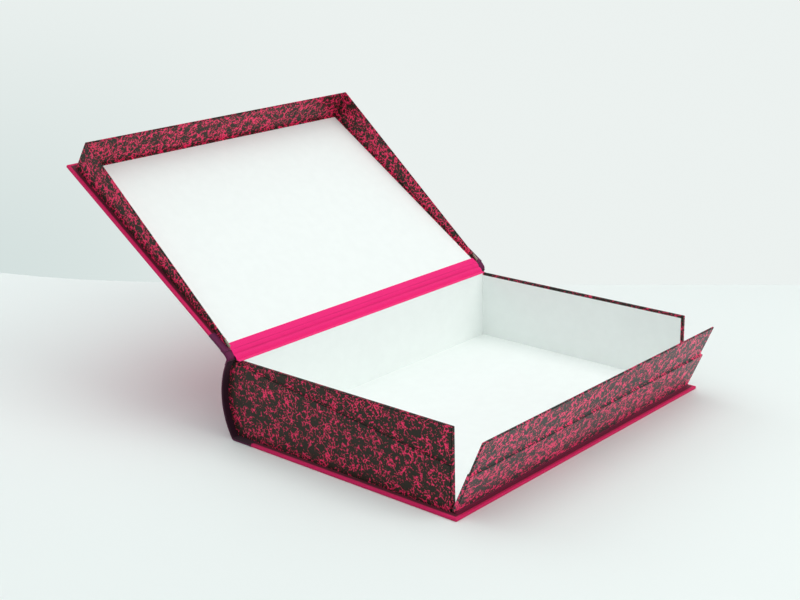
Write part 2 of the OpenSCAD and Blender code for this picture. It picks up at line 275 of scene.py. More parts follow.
def band(name, rows, flags, finishes, place=None, which=None, shade_depths=None):
    """Closed loops carried along a path, as one mesh.

    rows holds loops by points by (x, y, z) in millimetres. Neighbouring loops are
    joined by a ring of faces, and each end is closed by strips between the two
    halves of its loop. The UV map runs in millimetres round and along the rows.
    place turns the flat points into the pose at rest, and which gives each face
    the number of its finish from the middle of that face in the flat. flags are 1 on
    edges that wear or are darkened, and shade_depths are 1 where painted shade darkens
    the cloth, as in creases."""
    rows = np.asarray(rows, float)
    count, size = rows.shape[:2]
    closed = np.concatenate([rows, rows[:, :1]], axis=1)
    around, along = lengths_along(closed, 1), lengths_along(closed, 0)
    i, j = np.meshgrid(np.arange(count - 1), np.arange(size), indexing="ij")
    i, j = i.ravel(), j.ravel()
    k = (j + 1) % size
    faces = np.stack([i * size + j, i * size + k, (i + 1) * size + k, (i + 1) * size + j], 1)
    uv_u = np.stack([around[i, j], around[i, j + 1], around[i + 1, j + 1], around[i + 1, j]], 1)
    uv_v = np.stack([along[i, j], along[i, j + 1], along[i + 1, j + 1], along[i + 1, j]], 1)
    uv = np.stack([uv_u, uv_v], -1)
    flat = rows.reshape(-1, 3)
    half = size // 2
    m = np.arange(half - 1)
    strip = np.stack([m, m + 1, size - 2 - m, size - 1 - m], 1)
    for quads in (strip[:, ::-1], strip + (count - 1) * size):
        spread = np.ptp(flat[quads.ravel()], axis=0)
        two = np.sort(np.argsort(spread)[-2:])
        faces = np.concatenate([faces, quads])
        uv = np.concatenate([uv, flat[quads][..., two]])
    a, b, c, d = (flat[faces[:, n]] for n in range(4))
    volume = (np.cross(a, b) * c + np.cross(a, c) * d).sum() / 6
    if volume < 0:
        faces, uv = faces[:, ::-1], uv[:, ::-1]
    middles = flat[faces].mean(1)
    solid = flat if place is None else place(flat)

    mesh = bpy.data.meshes.new(name)
    mesh.from_pydata((solid * MM).tolist(), [], faces.tolist())
    layer = mesh.uv_layers.new(name="surface_mm")
    layer.data.foreach_set("uv", uv.reshape(-1).astype(np.float32))
    for kind, values in (("edge", flags), ("shade_depth", shade_depths)):
        if values is not None:
            layer = mesh.attributes.new(kind, "FLOAT", "POINT")
            layer.data.foreach_set("value", np.asarray(values, np.float32).reshape(-1))
    for finish in finishes:
        mesh.materials.append(finish)
    if which is not None:
        mesh.polygons.foreach_set("material_index", which(middles).astype(np.int32))
    mesh.shade_smooth()
    mesh.set_sharp_from_angle(angle=math.radians(SHARP_FROM_DEG))
    mesh.update()
    piece = bpy.data.objects.new(name, mesh)
    bpy.context.scene.collection.objects.link(piece)
    return piece


def levels(loops, heights):
    """Outlines [loop, point, (x, y)] and heights [loop] or [loop, point], as rows."""
    heights = np.asarray(heights, float)
    if heights.ndim == 1:
        heights = np.repeat(heights[:, None], loops.shape[1], 1)
    return np.concatenate([loops, heights[..., None]], -1)


def carried(path, half, name, finish, y_half, end_round, swell=None, shade_depth=None):
    """A strip of cloth: a thin band about a path in x and z, carried along Y.

    The two faces stand off the path by half its thickness along its normals, and the
    two ends in Y are rounded over by taking the half thickness down on a quarter
    circle. swell adds to one face's offset as a function of y, and shade_depth gives
    how deep the painted shade is at each y and point of the path, as in creases."""
    path = np.asarray(path, float)
    way = unit(np.gradient(path, axis=0))
    normal = np.stack([-way[:, 1], way[:, 0]], 1)
    a = np.linspace(0, np.pi / 2, ARC_STEPS)
    tip = y_half - end_round * (1 - np.sin(a))
    thin = np.maximum(np.cos(a), THINNEST_SHARE)
    between = np.linspace(-(y_half - end_round), y_half - end_round, STRIP_STATIONS)[1:-1]
    y = np.concatenate([-tip[::-1], between, tip])
    share = np.concatenate([thin[::-1], np.ones(len(between)), thin])
    extra = np.zeros_like(y) if swell is None else swell(y)
    up = path[None] + normal[None] * (half * share + extra * share)[:, None, None]
    down = path[None] - normal[None] * (half * share)[:, None, None]
    rows = levels(np.concatenate([up, down[:, ::-1]], axis=1), y)[..., LEVELS_IN_Y]
    edge = np.zeros(rows.shape[:2])
    edge[:len(tip)] = edge[-len(tip):] = 1.0
    if shade_depth is not None:
        depth = shade_depth(path, y)
        shade_depth = np.concatenate([depth, depth[:, ::-1]], axis=1)
    return band(name, rows, edge, [finish], shade_depths=shade_depth)


def smooth_path(points, count=40):
    """A curve through a few points: uniform Catmull-Rom, sampled evenly in its parameter."""
    p = np.asarray(points, float)
    p = np.concatenate([[2 * p[0] - p[1]], p, [2 * p[-1] - p[-2]]])
    t = np.linspace(0, len(p) - 3 - 1e-9, count)
    i = t.astype(int)
    f = (t - i)[:, None]
    a, b, c, d = p[i], p[i + 1], p[i + 2], p[i + 3]
    return 0.5 * (2 * b + (c - a) * f + (2 * a - 5 * b + 4 * c - d) * f ** 2
                  + (3 * b - a - 3 * c + d) * f ** 3)


# ---- Shader maths ----

def maths(operation, reflected=False):
    """A method of Wire that adds the Math node of an operation."""
    def method(self, *others):
        values = (*others, self) if reflected else (self, *others)
        return self.nodes.wire("ShaderNodeMath", {"operation": operation}, dict(enumerate(values)))
    return method


class Wire:
    """A shader socket, with its sums written as Python expressions."""

    def __init__(self, nodes, socket):
        self.nodes, self.socket = nodes, socket

    __add__ = __radd__ = maths("ADD")
    __mul__ = __rmul__ = maths("MULTIPLY")
    __sub__, __rsub__ = maths("SUBTRACT"), maths("SUBTRACT", True)
    __truediv__, __rtruediv__ = maths("DIVIDE"), maths("DIVIDE", True)
    __gt__, __lt__ = maths("GREATER_THAN"), maths("LESS_THAN")
    __abs__, sine = maths("ABSOLUTE"), maths("SINE")
    highest, lowest = maths("MAXIMUM"), maths("MINIMUM")

    def step(self, low, high):
        """Runs smoothly from 0 at low to 1 at high, and back where low is the larger."""
        rising = low < high
        return self.nodes.wire(
            "ShaderNodeMapRange", {"interpolation_type": "SMOOTHSTEP", "clamp": True},
            {"Value": self, "From Min": min(low, high), "From Max": max(low, high),
             "To Min": 0.0 if rising else 1.0, "To Max": 1.0 if rising else 0.0})


class Nodes:
    """A cleared node tree and the means to add nodes to it."""

    def __init__(self, owner):
        owner.use_nodes = True
        self.tree = owner.node_tree
        self.tree.nodes.clear()

    def feed(self, socket, value):
        """Sets a socket to a value, or links it to a wire or another node's socket."""
        value = value.socket if isinstance(value, Wire) else value
        if isinstance(value, bpy.types.NodeSocket):
            self.tree.links.new(value, socket)
        else:
            socket.default_value = value

    def node(self, kind, settings=None, sockets=None):
        """Adds a node: its settings first, then a value or a link for each socket."""
        node = self.tree.nodes.new(kind)
        for key, value in (settings or {}).items():
            setattr(node, key, value)
        for key, value in (sockets or {}).items():
            self.feed(node.inputs[key], value)
        return node

    def wire(self, kind, settings=None, sockets=None, output=0):
        """Adds a node and gives one of its outputs."""
        return Wire(self, self.node(kind, settings, sockets).outputs[output])

    def vectors(self, operation, one, other, output=0):
        """Adds the Vector Math node of an operation on two vectors."""
        return self.wire("ShaderNodeVectorMath", {"operation": operation}, {0: one, 1: other}, output)

    def scaled(self, vector, scale):
        return self.wire("ShaderNodeVectorMath", {"operation": "SCALE"}, {0: vector, "Scale": scale})

    def parts(self, vector):
        node = self.node("ShaderNodeSeparateXYZ", None, {0: vector})
        return [Wire(self, output) for output in node.outputs]

    def mix(self, factor, low, high):
        """Mixes two colours, each a colour or a link."""
        return self.wire("ShaderNodeMix", {"data_type": "RGBA"}, {0: factor, 6: low, 7: high}, 2)

    def grain(self, vector, size, detail=2.0, roughness=0.5, output=0):
        """Noise whose lumps are about that size, in the vector's own unit."""
        return self.wire("ShaderNodeTexNoise", {"noise_dimensions": "3D"},
                         {"Vector": vector, "Scale": 1.0 / size, "Detail": detail,
                          "Roughness": roughness}, output)


class Finish(Nodes):
    """A material with one shader, on an object measured in millimetres."""

    def __init__(self, name):
        self.material = bpy.data.materials.new(name)
        super().__init__(self.material)
        self.shader = self.node("ShaderNodeBsdfPrincipled")
        self.node("ShaderNodeOutputMaterial", None, {0: self.shader.outputs[0]})

    def set(self, **values):
        """Sets the shader's own sockets; an underscore stands for a space."""
        for key, value in values.items():
            self.feed(self.shader.inputs[key.replace("_", " ")], value)

    def place(self):
        """The point on the surface."""
        return self.scaled(self.wire("ShaderNodeTexCoord", output="Object"), 1 / MM)

    def flat_place(self, hinge):
        """The parts of the point on the surface, with the lid laid flat over the tray.

        Each is the dot product with one closed axis, plus the closed origin's part."""
        at = self.place()
        if hinge is None:
            return self.parts(at)
        origin = hinge.close(np.zeros((1, 3)))[0]
        axes = hinge.close(np.eye(3)) - origin
        return [self.vectors("DOT_PRODUCT", at, tuple(way), "Value") + float(start)
                for way, start in zip(axes.T, origin)]

    def uv(self):
        """The running lengths round and along the surface, together and apart."""
        both = self.wire("ShaderNodeUVMap", {"uv_map": "surface_mm"})
        return both, *self.parts(both)[:2]

    def attribute(self, name):
        return self.wire("ShaderNodeAttribute", {"attribute_name": name}, output="Fac")

    def bump(self, height, distance, strength):
        """Raises the surface by a height, where 1 stands for a distance."""
        self.set(Normal=self.wire("ShaderNodeBump", None, {
            "Strength": strength, "Distance": distance * MM, "Height": height}))


def linear(colour):
    """An sRGB colour picked on screen, as a linear one with alpha.

    Up to 0.04045 it is the value over 12.92, and above that a power of 2.4."""
    c = np.asarray(colour[:3], float)
    low = c / 12.92
    high = ((c + 0.055) / 1.055) ** 2.4
    return tuple(np.where(c <= 0.04045, low, high)) + (1.0,)


def shade(colour, factor):
    """The colour with its three parts times a factor."""
    return tuple(x * factor for x in colour[:3]) + (1.0,)


# ---- Finishes ----

def bookcloth(name, colour, thread, gap_shade, ledge=None):
    """Plain-woven bookcloth: threads cross over and under at a fixed pitch.

    A thread's ridge is one less a squared sine, and the sign of the two sines' product
    says which thread is over. ledge gives the hinge or None, the height of the ledges, the
    side they face and the reach along X and Y: inside that, painted shade makes the cloth
    on the ledges almost black."""
    f = Finish(name)
    at, u, v = f.uv()
    wander = (f.grain(at, 6.0) - 0.5) * (0.5 * thread)
    turns = math.pi / thread
    across, up = ((u + wander) * turns).sine(), ((v - wander) * turns).sine()
    over = (across * up) > 0.0
    ridge_u, ridge_v = 1 - across * across, 1 - up * up
    height = ((1 - ridge_u * 0.6 - ridge_v * 0.4) * over
              + (1 - ridge_v * 0.6 - ridge_u * 0.4) * (1 - over))
    tone = f.grain(f.place(), 14.0, 3.0)
    slub = f.grain(at, 1.1)
    edge, shade_depth = f.attribute("edge"), f.attribute("shade_depth")
    depth = (height * 0.7 + slub * 0.3).step(0.1, 0.9)
    body = f.mix(depth, shade(colour, gap_shade), colour)
    toned = f.mix(tone.step(0.3, 0.7) * 0.16, body, shade(colour, 0.72))
    worn = f.mix(edge * slub.step(0.45, 0.7) * 0.3, toned, shade(colour, 1.35))
    # Painted shade: the shade_depth attribute darkens the cloth in the inner strip's creases, over the
    # whole flap hinge and on the spine cloth's inner side.
    final = f.mix(shade_depth * shade_depth * 0.92, worn, shade(colour, 0.12))
    if ledge is not None:
        hinge, level, side, reach_x, reach_y = ledge
        fade = 1.2
        x, y, z = f.flat_place(hinge)
        # Painted shade: the ledges' tops beside the walls, the rims and the flap are darkened almost to
        # black.
        ledge_shade = (z.step(level - 0.35 * side, level - 0.1 * side) * x.step(reach_x, reach_x - fade)
                  * abs(y).step(reach_y, reach_y - fade))
        final = f.mix(ledge_shade * (0.82 + slub * 0.2).lowest(1.0), final, shade(colour, 0.05))
    f.set(Base_Color=final, Roughness=0.74 - depth * 0.1 + tone * 0.08,
          Specular_IOR_Level=0.25, Sheen_Weight=0.15, Sheen_Roughness=0.4)
    f.bump(height * 0.8 + slub * 0.5, 0.05, 0.6)
    return f.material


def veined_paper(name, ground, vein, cell, width, cover, faint, gloss):
    """Dark paper under a broken net of fine veins.

    The net is the edges of random cells, bent by noise. It shows where a fine noise and
    a coarse one add up to more than a level, so it holds together in clusters, breaks
    into short strokes between them and leaves patches plain. cover lowers the level, and
    faint is the brightness of the strokes between the clusters."""
    f = Finish(name)
    at = f.place()
    bend = f.vectors("SUBTRACT", f.grain(at, cell * 0.9, output="Color"), (0.5, 0.5, 0.5))
    moved = f.vectors("ADD", at, f.scaled(bend, cell))
    clusters = f.grain(f.vectors("ADD", at, (31.0, 7.0, 13.0)), cell * 1.6, 3.0, 0.62)
    breaks = f.grain(moved, cell * 0.35, 1.0)
    thick = f.grain(at, cell * 0.8, 1.0) * 1.5 + 0.25

    def net(size, half, shift):
        """The edges of cells of a size, drawn out to half a vein's width on each side."""
        apart = f.wire("ShaderNodeTexVoronoi", {"feature": "DISTANCE_TO_EDGE"},
                       {"Vector": f.vectors("ADD", moved, shift), "Scale": 1.0 / size,
                        "Randomness": 1.0}, "Distance") * size
        return (apart / thick).step(half * 1.25, half * 0.75)

    level = breaks * 0.8 + clusters * 0.9 + cover
    fine = net(cell, width * 0.5, (0.0, 0.0, 0.0)) * level.step(0.855, 0.915)
    coarse = net(cell * 1.7, width * 0.6, (17.0, 5.0, 9.0)) * level.step(0.81, 0.87)
    veins = coarse.highest(fine)
    fleck = f.grain(at, 0.5)
    tone = f.grain(at, 22.0)
    edge = f.attribute("edge")
    paper = f.mix(fleck.step(0.3, 0.75) * 0.5 + tone * 0.3, ground, shade(ground, 0.62))
    # The rounded edges and the top faces are painted almost black, and the veins there are dimmed.
    turned = f.mix(edge * 0.88, paper, shade(ground, 0.2))
    ink = f.mix(level.step(0.85, 1.02), shade(vein, faint), vein)
    drawn = f.mix(veins * (1 - edge * 0.35), turned, ink)
    f.set(Base_Color=drawn, Specular_IOR_Level=gloss,
          Roughness=0.36 + fleck * 0.08 + tone * 0.05 - veins * 0.04 + edge * 0.3)
    f.bump(veins * 0.5 + fleck * 0.25 + tone * 3.0, 0.03, 0.5)
    return f.material


def lining_paper(name, colour):
    """Smooth white paper with a faint cloudy look-through and fibres."""
    f = Finish(name)
    at = f.place()
    cloud = f.grain(at, 9.0, 4.0, 0.6)
    fibre = f.grain(at, 0.35, 3.0, 0.7)
    swell = f.grain(at, 60.0, 1.0)
    edge = f.attribute("edge")
    body = f.mix(cloud.step(0.3, 0.7) * 0.5 + fibre * 0.3, colour, shade(colour, 0.965))
    cut = f.mix(edge * 0.35, body, shade(colour, 0.86))
    f.set(Base_Color=cut, Roughness=0.58 + fibre * 0.12, Specular_IOR_Level=0.35)
    f.bump(fibre * 0.3 + cloud * 0.4 + swell * 6.0, 0.03, 0.35)
    return f.material


def greyboard(name, colour):
    """Pulp board: mottled, with dark and pale fibres pressed in layers."""
    f = Finish(name)
    at = f.place()
    pulp = f.grain(at, 1.6, 4.0, 0.7)
    fibre = f.grain(at, 0.3, 2.0, 0.8)
    body = f.mix(pulp.step(0.3, 0.7), shade(colour, 0.7), shade(colour, 1.15))
    flecked = f.mix(fibre.step(0.58, 0.7) * 0.5, body, shade(colour, 0.45))
    f.set(Base_Color=flecked, Roughness=0.82 + fibre * 0.1, Specular_IOR_Level=0.2)
    f.bump(pulp * 1.0 + fibre * 0.5, 0.08, 0.7)
    return f.material


# ---- Settings ----

def length(name, description, default, low, high):
    """A setting that is a length in mm."""
    return bpy.props.FloatProperty(name=name, description=description + ", in mm",
                                   default=default, min=low, max=high)


def colour(name, description, *default):
    """A setting that is a colour as seen on screen."""
    return bpy.props.FloatVectorProperty(name=name, description="Colour of " + description,
                                         subtype="COLOR_GAMMA", size=3, default=default, min=0, max=1)


def power(name, description, default):
    """A setting that is the power of a lamp."""
    return bpy.props.FloatProperty(name=name, description="Power of the soft lamp " + description,
                                   unit="POWER", default=default, min=0.0)


class CoverSettings(bpy.types.PropertyGroup):
    paper_round: length("Paper edge radius", "Radius of the paper-covered edges", 0.6, 0.1, 0.8)
    cloth_round: length("Cloth edge radius", "Radius of the cloth-covered edges", 0.9, 0.2, 1.1)
    thread: length("Thread pitch", "Distance between the bookcloth's threads", 0.45, 0.2, 1.0)
    vein_cell: length("Vein spacing", "Size of the veined paper's smaller meshes", 4.5, 1.0, 20.0)
    vein_width: length("Vein width", "Width of the smaller veins", 0.6, 0.1, 3.0)
    pink: colour("Pink bookcloth", "the cloth inside the hinge", 1.0, 0.115, 0.5)
    case_pink: colour("Case's pink bookcloth", "the base's and the lid's cloth", 0.88, 0.10, 0.39)
    purple: colour("Purple bookcloth", "the spine's cloth", 0.41, 0.10, 0.29)
    # The flap's two colours are the walls' paper with painted sheen: a paler, greyer ground and brighter
    # veins.
    flap_ground_painted_sheen: colour("Flap's paper ground", "the flap's paper", 0.235, 0.262, 0.248)
    flap_vein_painted_sheen: colour("Flap's paper veins", "the veins on the flap", 1.0, 0.26, 0.47)
    ground: colour("Paper ground", "the veined paper between its veins", 0.172, 0.155, 0.118)
    vein: colour("Veins", "the paper's veins", 1.0, 0.2, 0.42)
    white: colour("Lining", "the lining paper", 0.955, 0.975, 0.965)
    board: colour("Greyboard", "the bare board", 0.60, 0.57, 0.50)


class StageSettings(bpy.types.PropertyGroup):
    camera_at: bpy.props.FloatVectorProperty(
        name="Camera place", description="Where the camera stands", subtype="TRANSLATION",
        unit="LENGTH", size=3, default=(0.70227, -0.87612, 0.45772))
    camera_turn: bpy.props.FloatVectorProperty(
        name="Camera turn", description="Camera's azimuth, downward tilt and roll",
        subtype="EULER", unit="ROTATION", size=3,
        default=(math.radians(-41.762), math.radians(17.507), math.radians(-1.286)))
    focal_px: bpy.props.FloatProperty(
        name="Focal length in pixels",
        description="Focal length over the size of a pixel, in a picture 800 pixels wide",
        default=1396.0, min=200.0)
    floor_colour: colour("Floor", "the floor", 0.925, 0.95, 0.94)
    backdrop_colour: colour("Backdrop", "what is seen behind the floor", 0.925, 0.947, 0.94)
    backdrop_shade: colour("Backdrop's shaded side", "the backdrop low down at the spine's side",
                           0.828, 0.876, 0.868)
    sky_level: bpy.props.FloatProperty(
        name="Sky level", description="Strength of the light from all round", default=0.5, min=0.0)
    key_power: power("Key light", "at the fore-edge side", 13.4)
    top_power: power("Top light", "above the box", 12.7)
    spine_power: power("Spine side's light", "at the spine's side", 7.9)


FINISHES = {}


def finish_for(s, name):
    """Makes each finish once, from the settings, and gives it again after that."""
    if name not in FINISHES:
        reach = (CASE_FORE_X - 2.0, CASE_Y - 2.0)
        case_cloth = partial(bookcloth, colour=linear(s.case_pink), thread=s.thread, gap_shade=0.7)
        wall_paper = partial(veined_paper, ground=linear(s.ground), vein=linear(s.vein),
                             cell=s.vein_cell)
        makers = {
            "pink_cloth": partial(bookcloth, "pink_bookcloth", linear(s.pink), s.thread, 0.78),
            "lid_pink_cloth": partial(case_cloth, "lid_pink_bookcloth",
                                      ledge=(LID, LID_IN, -1.0, *reach)),
            "base_pink_cloth": partial(case_cloth, "base_pink_bookcloth",
                                       ledge=(None, LEDGE_TOP, 1.0, *reach)),
            "purple_cloth": partial(bookcloth, "purple_bookcloth", linear(s.purple), s.thread, 0.6),
            "veined": partial(wall_paper, "veined_paper", width=s.vein_width,
                              cover=0.0, faint=0.55, gloss=0.2),
            "rim_veined": partial(wall_paper, "rim_veined_paper", width=s.vein_width * 1.25,
                                  cover=0.035, faint=0.72, gloss=0.25),
            # The flap's paper is the walls' paper with painted sheen: its ground is paler and greyer and
            # its strokes brighter, for the light the flap catches; its veins are also wider.
            "flap_veined": partial(
                veined_paper, "densely_veined_paper_painted_sheen", linear(s.flap_ground_painted_sheen), linear(s.flap_vein_painted_sheen),
                s.vein_cell * 1.1, s.vein_width * 1.7, cover=0.0, faint=0.95, gloss=0.4),
            "white": partial(lining_paper, "white_lining_paper", linear(s.white)),
            "board": partial(greyboard, "greyboard", linear(s.board)),
        }
        FINISHES[name] = makers[name]()
    return FINISHES[name]


# ---- Pieces ----

def slab(name, x0, x1, y, z0, z1, radius, finish):
    """A cloth-covered board: a rounded slab, square at x0 where the next cloth meets it.

    Its outline shrinks over each edge as a quarter circle."""
    corners = np.array([[x1, -y], [x1, y], [x0, y], [x0, -y]], float)
    radii = np.array([radius, radius, SHARP, SHARP])
    inwards, below, flags = edge_round(radius)
    ins = mirrored(inwards)[:, None]
    z = np.concatenate([z0 + below[::-1], z1 - below])
    loops, arc = rounded(inset(corners, ins[:, 0]), np.maximum(radii - ins, SHARP))
    loops[..., 0] = np.where(loops[..., 0] < x0 + ins + 0.2, x0, loops[..., 0])
    edge = np.maximum(mirrored(flags)[:, None], arc * (loops[..., 0] > x0 + 1))
    return band(name, levels(loops, z), edge, [finish])


def lid_cover(name, x0, x1, lip, radius, finish, closed_fore, proud=0.0):
    """Cloth over the lid board, turned on to its ledges: a flat C in y and z, carried along X.

    Each row is a rounded rectangle with a shallow recess between its two lips. Where the
    cloth also wraps over the fore edge, the recess ends a lip's width before it, and the
    last rows shrink as a quarter circle."""
    y, low, high = CASE_Y + proud, LID_BOARD_Z - CLOTH - proud, LID_TOP + proud
    hair = 0.02
    if closed_fore:
        ins, below, flag = edge_round(radius)
        x = np.concatenate([[x0, x1 - lip, x1 - lip + hair], x1 - below])
        shrink, edge = (np.concatenate([np.zeros(3), values]) for values in (ins, flag))
        filled = x > x1 - lip
    else:
        x = np.array([x0, x1], float)
        shrink, edge, filled = np.zeros((3, 2))
    y_in, z_low, z_high = y - shrink, low + shrink, high - shrink
    outer, arc = rounded(boxes(z_low, z_high, -y_in, y_in)[..., ::-1],
                         np.maximum(radius - shrink, SHARP)[:, None])
    lips = [np.stack([side * (y - lip) + 0 * x, z_low], -1)[:, None] for side in (NEAR, FAR)]
    outer = np.concatenate([lips[0], outer, lips[1]], 1)
    count = outer.shape[1]
    near = -(y - lip) + hair * np.arange(count // 2)
    inner_y = np.concatenate([near, -near[::-1]])[::-1]
    inner_z = np.where(filled > 0, z_low, LID_BOARD_Z + 0.03)
    inner = np.stack(np.broadcast_arrays(inner_y, inner_z[:, None]), -1)
    rows = levels(np.concatenate([outer, inner], 1), x)[..., LEVELS_IN_X]
    worn = np.zeros(rows.shape[:2])
    worn[:, 1:count - 1] = arc
    return band(name, rows, np.maximum(worn, edge[:, None]), [finish], LID.open)


def sheet(name, corners, low, high, order, finish, place=None):
    """A pasted sheet between two levels: its outline is pulled in a little at each face."""
    radius, corner, steps, guard = 0.1, 0.25, 2, 0.05
    corners = np.asarray(corners, float)
    ins, below, flag = edge_round(radius, steps, guard)
    squeeze = (high - low) / (2 * (radius + guard))
    level = np.concatenate([low + below[::-1] * squeeze, high - below * squeeze])
    loops, arc = rounded(inset(corners, mirrored(ins)), corner, steps, guard)
    edge = np.maximum(mirrored(flag)[:, None], arc)
    return band(name, levels(loops, level)[..., order], edge, [finish], place)


class BOOKBOX_OT_base_cloth(bpy.types.Operator):
    """Cover the base board in pink bookcloth with soft edges"""
    bl_idname = "bookbox.base_cloth"
    bl_label = "Base Cloth"

    def execute(self, context):
        s = context.scene.bookbox_covers
        piece = slab("base_pink_cloth", BASE_LAP_X, CASE_FORE_X, CASE_Y, 0.0, LEDGE_TOP,
                     s.cloth_round, finish_for(s, "base_pink_cloth"))
        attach(piece, "tray")
        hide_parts("base_cloth")
        return {"FINISHED"}


class BOOKBOX_OT_spine_cloth(bpy.types.Operator):
    """Cover the spine in purple bookcloth, lapped on to the base"""
    bl_idname = "bookbox.spine_cloth"
    bl_label = "Spine Cloth"

    def execute(self, context):
        s = context.scene.bookbox_covers
        over, proud, past_z = 0.5, 0.12, SPINE_TOP + 0.15
        end_x, top, bend_z, lip_z = BASE_LAP_X + over, LEDGE_TOP + proud, 1.6, SPINE_TOP - 0.6

        def flat(to_x, z, count):
            """A level stretch from the cloth's end on the base."""
            return np.stack([np.linspace(end_x, to_x, count), np.full(count, z)], 1)

        def arc(radius, from_z, aside):
            """The spine's arc up to the lip, and a point past it under the lid."""
            z = np.linspace(from_z, lip_z, 34)
            return np.concatenate([np.stack([spine_x(radius, z), z], 1),
                                   [[spine_x(radius, lip_z) + aside, past_z]]])

        # The outer corner is a quadratic curve from the flat over the bend to the arc.
        bend = np.array([spine_x(SPINE_OUT_R, 0.0), 0.0])
        heel = bend + (2.2, 0.0)
        rise = np.array([spine_x(SPINE_OUT_R, bend_z), bend_z])
        t = np.linspace(0, 1, 6)[:, None]
        corner = heel * (1 - t) ** 2 + bend * 2 * t * (1 - t) + rise * t ** 2
        outer = [flat(heel[0] + 0.1, 0.0, 8), corner[:-1], arc(SPINE_OUT_R, bend_z, 0.3)]
        inner = np.concatenate([flat(spine_x(SPINE_IN_R, top) + 0.4, top, 13),
                                arc(SPINE_IN_R, top + 0.5, -0.1)])
        outline = np.concatenate([*outer, inner[::-1]])[::-1]
        ins, back, flag = edge_round(s.cloth_round)
        half = CASE_Y + proud
        y = np.concatenate([-(half - back)[::-1], half - back])
        loops = inset(outline, mirrored(ins))
        loops[..., 0] = np.where(outline[None, :, 0] > BASE_LAP_X, end_x, loops[..., 0])
        rows = levels(loops, y)[..., LEVELS_IN_Y]
        edge = np.repeat(mirrored(flag)[:, None], loops.shape[1], 1)
        # Painted shade: the cloth's whole inner side is darkened, which shows as a dark line where the
        # spine's ends meet the walls.
        inside = np.arange(len(outline)) < len(inner)
        shade_depths = np.broadcast_to(inside[None], rows.shape[:2]) * 1.0
        piece = band("spine_purple_cloth", rows, edge, [finish_for(s, "purple_cloth")], shade_depths=shade_depths)
        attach(piece, "tray")
        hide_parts("spine_cloth")
        return {"FINISHED"}


class BOOKBOX_OT_lid_cloth(bpy.types.Operator):
    """Cover the lid board in pink bookcloth, and lap the spine's cloth on to it"""
    bl_idname = "bookbox.lid_cloth"
    bl_label = "Lid Cloth"

    def execute(self, context):
        s = context.scene.bookbox_covers
        lip = CASE_Y - LOWER_Y + 1.0
        pink = lid_cover("lid_pink_cloth", LID_LAP_X, CASE_FORE_X, lip, s.cloth_round,
                         finish_for(s, "lid_pink_cloth"), True)
        lap = lid_cover("lid_purple_cloth", LID_X, LID_LAP_X + 0.5, lip + 0.1, s.cloth_round,
                        finish_for(s, "purple_cloth"), False, 0.1)
        for piece, node, slot in ((pink, "lid_cloth", "pink_bookcloth"),
                                  (lap, "lid_spine_cloth", "purple_bookcloth")):
            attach(piece, "lid")
            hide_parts(node)
        return {"FINISHED"}


class BOOKBOX_OT_joint_cloths(bpy.types.Operator):
    """Make the cloth joint outside the hinge and the pink strip inside it"""
    bl_idname = "bookbox.joint_cloths"
    bl_label = "Joint Cloths"

    def execute(self, context):
        s = context.scene.bookbox_covers
        on_spine = [[spine_x(SPINE_OUT_R + 0.05, z), z] for z in (SPINE_TOP - 4.0, SPINE_TOP - 1.4)]
        lid_way = np.array([math.cos(LID.angle), math.sin(LID.angle)])
        edge = LID.open([[LID_X, 0, LID_TOP]])[0][[0, 2]]
        valley = np.array([LID.x - 1.1, LID.z - 0.5])
        path = smooth_path(on_spine + [
            [on_spine[1][0] + 1.0, SPINE_TOP + 0.6], valley,
            edge - lid_way * 1.2, edge + lid_way * 1.2, edge + lid_way * 3.8])
        def swell(y):
            """Thicker past the walls, by the square of the distance up to a limit."""
            return 1.7 * np.clip((np.abs(y) - WALL_OUT_Y + 0.4) / 1.6, 0, 1) ** 2

        outer = carried(path[::-1], 0.45, "outer_joint_purple_cloth", finish_for(s, "purple_cloth"),
                        CASE_Y, 1.4, swell=swell)
        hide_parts("outer_joint_cloth")
        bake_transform(outer)

        seat = WALL_TOP + 0.05
        lid_z = LID_BOARD_Z - CLOTH / 2
        lid_edge = LID.open([[LID_X, 0, lid_z]])[0][[0, 2]]
        far_end = LID.open([[STRIP_END_X + 0.3, 0, lid_z]])[0][[0, 2]]
        wall_edge = np.array([BACK_OUT_X + 0.4, seat])
        span = lid_edge - wall_edge
        sag = np.array([-span[1], span[0]]) / np.linalg.norm(span)
        dip = wall_edge + span * 0.6 + sag * 0.75
        points = [[BACK_X + 0.05, seat - 0.25], [BACK_X - 0.6, seat], wall_edge,
                  wall_edge + span * 0.1 + sag * 0.25, wall_edge + span * 0.34 - sag * 0.15,
                  dip - span * 0.06 - sag * 0.2, dip, dip + span * 0.07 - sag * 0.35,
                  wall_edge + span * 0.84 + sag * 0.1, lid_edge + sag * 0.3,
                  lid_edge + lid_way * 1.0, far_end - lid_way * 1.0, far_end]
        strip_path = smooth_path(points, 96)

        def painted_pleat_shade(path, y):
            """Painted shade in the creases: at the lid board's edge, in the gap, and short ones at the
            wall.

            Each fades with the square of the distance over its width, as a bell curve."""
            def near(spot, width):
                return np.exp(-(((path - spot) ** 2).sum(-1)) / width ** 2)
            at_ends = np.clip((np.abs(y) - 0.62 * WALL_OUT_Y) / (0.3 * WALL_OUT_Y), 0, 1)
            ripple = 0.8 + 0.2 * np.sin(y * 0.09 + 1.0) * np.sin(y * 0.031)
            along = near(lid_edge + sag * 0.2, 0.6) * 0.58 + near(dip, 1.5) * 0.5
            return (ripple[:, None] * along[None]
                    + at_ends[:, None] * near(wall_edge + span * 0.1, 0.6)[None] * 0.4)

        inner = carried(strip_path[::-1], CLOTH / 2, "inner_hinge_pink_strip",
                        finish_for(s, "pink_cloth"), RIM_IN_Y - 0.15, 0.3, shade_depth=painted_pleat_shade)
        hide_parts("inner_hinge_strip")
        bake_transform(inner)
        return {"FINISHED"}


